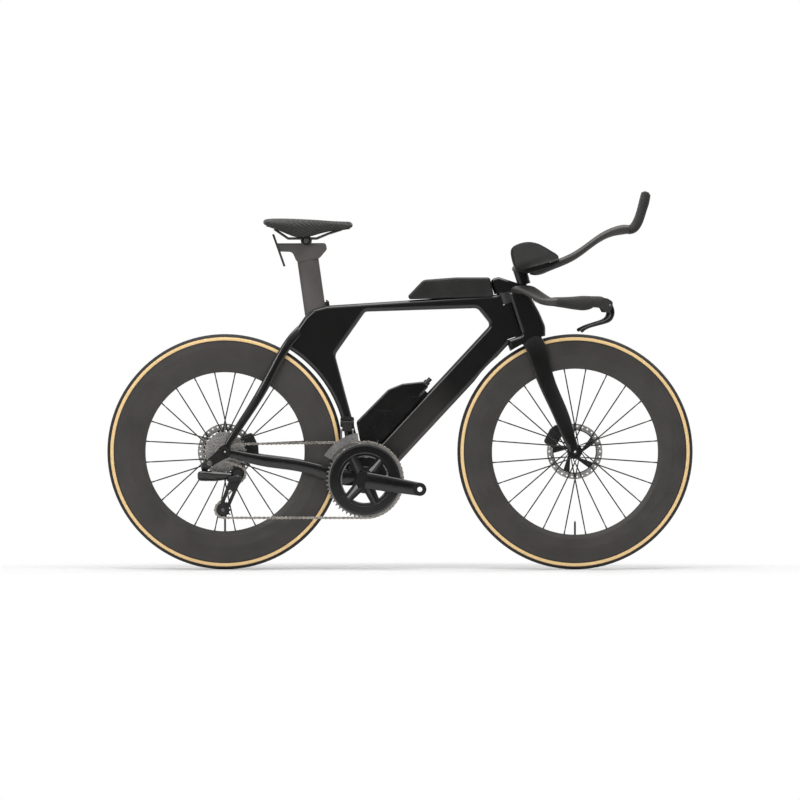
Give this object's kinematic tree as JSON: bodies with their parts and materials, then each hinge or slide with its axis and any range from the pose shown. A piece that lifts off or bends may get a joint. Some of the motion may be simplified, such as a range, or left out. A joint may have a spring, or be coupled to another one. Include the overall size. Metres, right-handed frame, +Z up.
{
  "type": "time trial bike",
  "caption": "Aerodynamic racing bicycle with deep-rim disc-brake wheels, a one-piece carbon frame, base bar with arm cups and extensions, chain drive, down-tube bottle and storage box.",
  "frame": {"origin": "on the ground, midway between the wheels' contact points, in the bike's middle plane", "axes": "+X forward, +Y to the rider's left, +Z up"},
  "size_m": [1.6859, 0.423, 1.0891],
  "materials": {
    "frame_gloss": "gloss clear coat over black carbon",
    "carbon_satin": "satin black carbon",
    "rim_carbon": "satin dark carbon with fine weave",
    "tyre_rubber": "black tread with tan sidewalls",
    "spoke_steel": "black bladed spokes",
    "anodised": "black anodised alloy",
    "bare_steel": "ground steel",
    "chain_steel": "plated steel",
    "ring_gloss": "gloss black anodised alloy",
    "mech_plastic": "gloss black composite",
    "grip_rubber": "matte black rubber",
    "saddle_cover": "black textured cover",
    "pad_foam": "black foam with fabric face",
    "bottle_plastic": "black bottle plastic",
    "box_plastic": "satin black box"
  },
  "bodies": {
    "frame": {"frame": "frame_gloss", "seat_clamp": "anodised", "bottom_bracket_cups": "anodised", "headset_bearings": "bare_steel", "rear_axle": "anodised", "derailleur_hanger": "anodised", "rear_mech_bracket": "mech_plastic", "front_mech_base": "mech_plastic", "rear_caliper": "anodised", "bottle_cage": "carbon_satin", "top_tube_box": "box_plastic", "box_lid": "box_plastic", "chain": "chain_steel"},
    "seat_post": {"seat_post": "carbon_satin", "rear_cage_plate": "anodised"},
    "saddle_clamp": {"saddle_clamp": "anodised"},
    "saddle": {"saddle_rails": "carbon_satin", "saddle_shell": "carbon_satin", "saddle_pad": "saddle_cover"},
    "steering": {"fork": "frame_gloss", "front_axle": "anodised", "base_bar": "carbon_satin", "stem_cover": "box_plastic", "base_bar_grips": "grip_rubber", "lever_bodies": "mech_plastic", "front_caliper": "anodised"},
    "front_wheel": {"front_tyre": "tyre_rubber", "front_rim": "rim_carbon", "front_spokes": "spoke_steel", "front_hub": "anodised", "front_rotor": "bare_steel"},
    "rear_wheel": {"rear_tyre": "tyre_rubber", "rear_rim": "rim_carbon", "rear_spokes": "spoke_steel", "rear_hub": "anodised", "rear_rotor": "bare_steel"},
    "crank": {"crank_arm_right": "ring_gloss", "crank_arm_left": "ring_gloss", "outer_chainring": "ring_gloss", "inner_chainring": "ring_gloss"},
    "cassette": {"cassette": "chain_steel"},
    "riser": {"riser_post": "carbon_satin", "armrest_bracket": "anodised", "arm_cups": "carbon_satin", "arm_pads": "pad_foam", "extension_bars": "carbon_satin", "extension_grips": "grip_rubber"},
    "brake_lever_left": {"brake_lever_left": "mech_plastic"},
    "brake_lever_right": {"brake_lever_right": "mech_plastic"},
    "shift_button_left": {"shift_button_left": "grip_rubber"},
    "shift_button_right": {"shift_button_right": "grip_rubber"},
    "rear_mech_link": {"rear_mech_link": "mech_plastic"},
    "rear_mech_knuckle": {"rear_mech_knuckle": "mech_plastic"},
    "rear_mech_cage": {"rear_mech_cage": "mech_plastic"},
    "guide_pulley": {"guide_pulley": "mech_plastic"},
    "tension_pulley": {"tension_pulley": "mech_plastic"},
    "front_mech_link": {"front_mech_link": "mech_plastic"},
    "front_mech_cage": {"front_mech_cage": "anodised"},
    "bottle": {"bottle": "bottle_plastic"}
  },
  "joints": [
    {"name": "seat_post_slide", "type": "slide", "parent": "frame", "child": "seat_post", "axis": [-0.1409, 0, 0.99], "range_m": [-0.025, 0.02]},
    {"name": "saddle_tilt", "type": "hinge", "parent": "seat_post", "child": "saddle_clamp", "pos_m": [-0.26986, 0, 0.947], "axis": [0, 1, 0], "range_deg": [-6, 6]},
    {"name": "saddle_slide", "type": "slide", "parent": "saddle_clamp", "child": "saddle", "axis": [1, 0, 0], "range_m": [-0.015, 0.015]},
    {"name": "steer", "type": "hinge", "parent": "frame", "child": "steering", "pos_m": [0.31085, 0, 0.76517], "axis": [-0.309, 0, 0.9511], "range_deg": [-35, 35]},
    {"name": "front_wheel_spin", "type": "hinge", "parent": "steering", "child": "front_wheel", "pos_m": [0.504, 0, 0.339], "axis": [0, 1, 0], "continuous": true},
    {"name": "rear_wheel_spin", "type": "hinge", "parent": "frame", "child": "rear_wheel", "pos_m": [-0.504, 0, 0.339], "axis": [0, 1, 0], "continuous": true},
    {"name": "crank_spin", "type": "hinge", "parent": "frame", "child": "crank", "pos_m": [-0.10086, 0, 0.259], "axis": [0, 1, 0], "continuous": true, "deforming": ["chain"]},
    {"name": "cassette_spin", "type": "hinge", "parent": "frame", "child": "cassette", "pos_m": [-0.504, 0, 0.339], "axis": [0, 1, 0], "continuous": true},
    {"name": "riser_slide", "type": "slide", "parent": "steering", "child": "riser", "axis": [-0.309, 0, 0.9511], "range_m": [0, 0.03]},
    {"name": "brake_lever_left_squeeze", "type": "hinge", "parent": "steering", "child": "brake_lever_left", "pos_m": [0.599, 0.195, 0.76117], "axis": [0, 1, 0], "range_deg": [0, 18], "stiffness_Nm_per_rad": 0.6, "springref_deg": -5.73},
    {"name": "brake_lever_right_squeeze", "type": "hinge", "parent": "steering", "child": "brake_lever_right", "pos_m": [0.599, -0.195, 0.76117], "axis": [0, 1, 0], "range_deg": [0, 18], "stiffness_Nm_per_rad": 0.6, "springref_deg": -5.73},
    {"name": "shift_button_left_press", "type": "slide", "parent": "riser", "child": "shift_button_left", "axis": [-0.3584, 0, -0.9336], "range_m": [0, 0.0015], "stiffness_N_per_m": 600, "springref_m": -0.001},
    {"name": "shift_button_right_press", "type": "slide", "parent": "riser", "child": "shift_button_right", "axis": [-0.3584, 0, -0.9336], "range_m": [0, 0.0015], "stiffness_N_per_m": 600, "springref_m": -0.001},
    {"name": "rear_mech_swing", "type": "hinge", "parent": "frame", "child": "rear_mech_link", "pos_m": [-0.563, -0.082, 0.271], "axis": [0, 0.6097, 0.7926], "range_deg": [0, 38]},
    {"name": "rear_mech_level", "type": "hinge", "parent": "rear_mech_link", "child": "rear_mech_knuckle", "pos_m": [-0.488, -0.082, 0.271], "axis": [0, 0.6097, 0.7926], "range_deg": [-38, 0]},
    {"name": "rear_mech_cage_swing", "type": "hinge", "parent": "rear_mech_knuckle", "child": "rear_mech_cage", "pos_m": [-0.466, -0.0635, 0.277], "axis": [0, 1, 0], "range_deg": [-35, 6], "stiffness_Nm_per_rad": 0.5, "springref_deg": 5.73},
    {"name": "guide_pulley_spin", "type": "hinge", "parent": "rear_mech_cage", "child": "guide_pulley", "pos_m": [-0.466, -0.0635, 0.277], "axis": [0, 1, 0], "continuous": true},
    {"name": "tension_pulley_spin", "type": "hinge", "parent": "rear_mech_cage", "child": "tension_pulley", "pos_m": [-0.50819, -0.0635, 0.17325], "axis": [0, 1, 0], "continuous": true},
    {"name": "front_mech_swing", "type": "hinge", "parent": "frame", "child": "front_mech_link", "pos_m": [-0.15186, -0.0375, 0.424], "axis": [1, 0, 0], "range_deg": [0, 20]},
    {"name": "front_mech_level", "type": "hinge", "parent": "front_mech_link", "child": "front_mech_cage", "pos_m": [-0.15186, -0.0375, 0.402], "axis": [1, 0, 0], "range_deg": [-20, 0]},
    {"name": "bottle_pull", "type": "slide", "parent": "frame", "child": "bottle", "axis": [0, 0, 1], "range_m": [0, 0.06]}
  ],
  "couplings": [
    {"joint": "cassette_spin", "follows": "crank_spin", "ratio": 4.9091},
    {"joint": "guide_pulley_spin", "follows": "crank_spin", "ratio": -4.9091},
    {"joint": "tension_pulley_spin", "follows": "crank_spin", "ratio": 4.9091},
    {"joint": "rear_mech_level", "follows": "rear_mech_swing", "ratio": -1},
    {"joint": "front_mech_level", "follows": "front_mech_swing", "ratio": -1}
  ]
}
